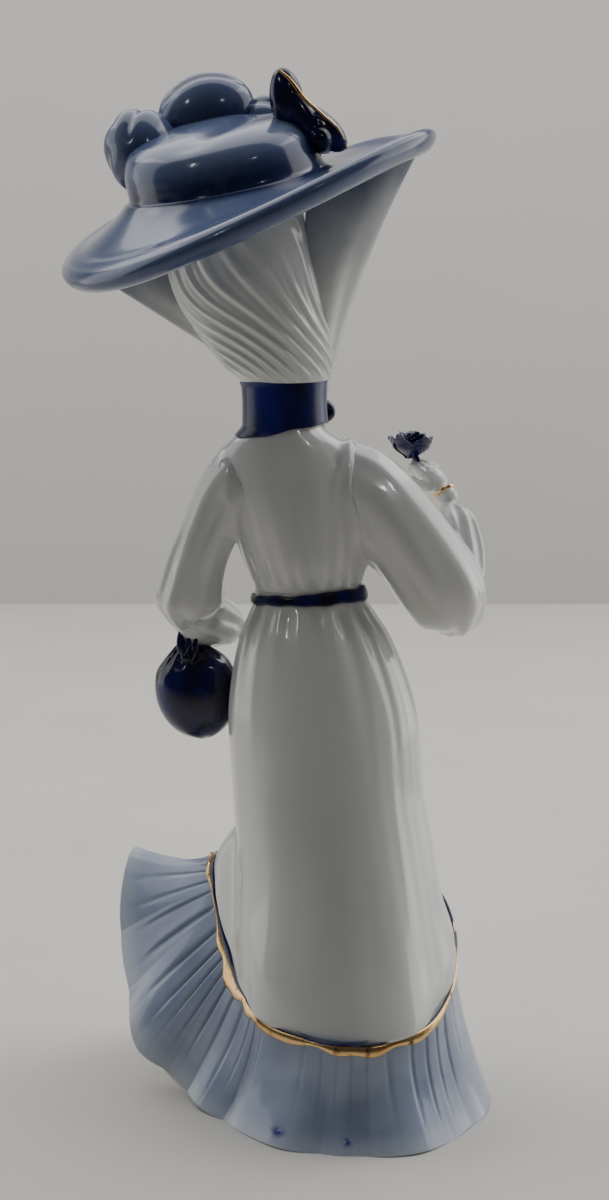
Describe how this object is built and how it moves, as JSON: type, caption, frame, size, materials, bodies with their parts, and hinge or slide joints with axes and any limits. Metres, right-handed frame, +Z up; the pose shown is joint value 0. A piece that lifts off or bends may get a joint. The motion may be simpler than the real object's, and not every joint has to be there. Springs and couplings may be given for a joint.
{
  "type": "porcelain lady figurine",
  "caption": "Glazed porcelain figurine of a standing lady in a wide tilted hat with a veil, holding a purse, her fluted hem swung out on one side.",
  "frame": {"origin": "middle of the foot's ring on the table, in the axis of the steam hole", "axes": "+Z up, the lady faces -Y and her right hand is towards -X"},
  "size_m": [0.0865, 0.078, 0.2057],
  "materials": {
    "white_glaze": "clear glossy glaze over white porcelain",
    "blue_wash": "glossy glaze over a sprayed pale cobalt wash",
    "cobalt_glaze": "glossy glaze over brushed deep cobalt",
    "bare_biscuit": "unglazed biscuit, slightly rough"
  },
  "bodies": {
    "root": {"skirt": "white_glaze", "flounce": "blue_wash", "swirl_lining": "white_glaze", "floor_disc": "bare_biscuit", "belt": "cobalt_glaze", "bodice": "white_glaze", "collar": "cobalt_glaze", "head": "white_glaze", "hat": "blue_wash", "hat_puff_left": "blue_wash", "hat_puff_front": "blue_wash", "hat_puff_right": "blue_wash", "hat_bow": "cobalt_glaze", "chin_bow": "cobalt_glaze", "bow_tails": "cobalt_glaze", "veil_right": "white_glaze", "veil_left": "white_glaze", "right_sleeve": "white_glaze", "left_sleeve": "white_glaze", "right_hand": "white_glaze", "left_hand": "white_glaze", "rose": "cobalt_glaze", "purse": "cobalt_glaze", "purse_strap": "cobalt_glaze"}
  },
  "joints": []
}
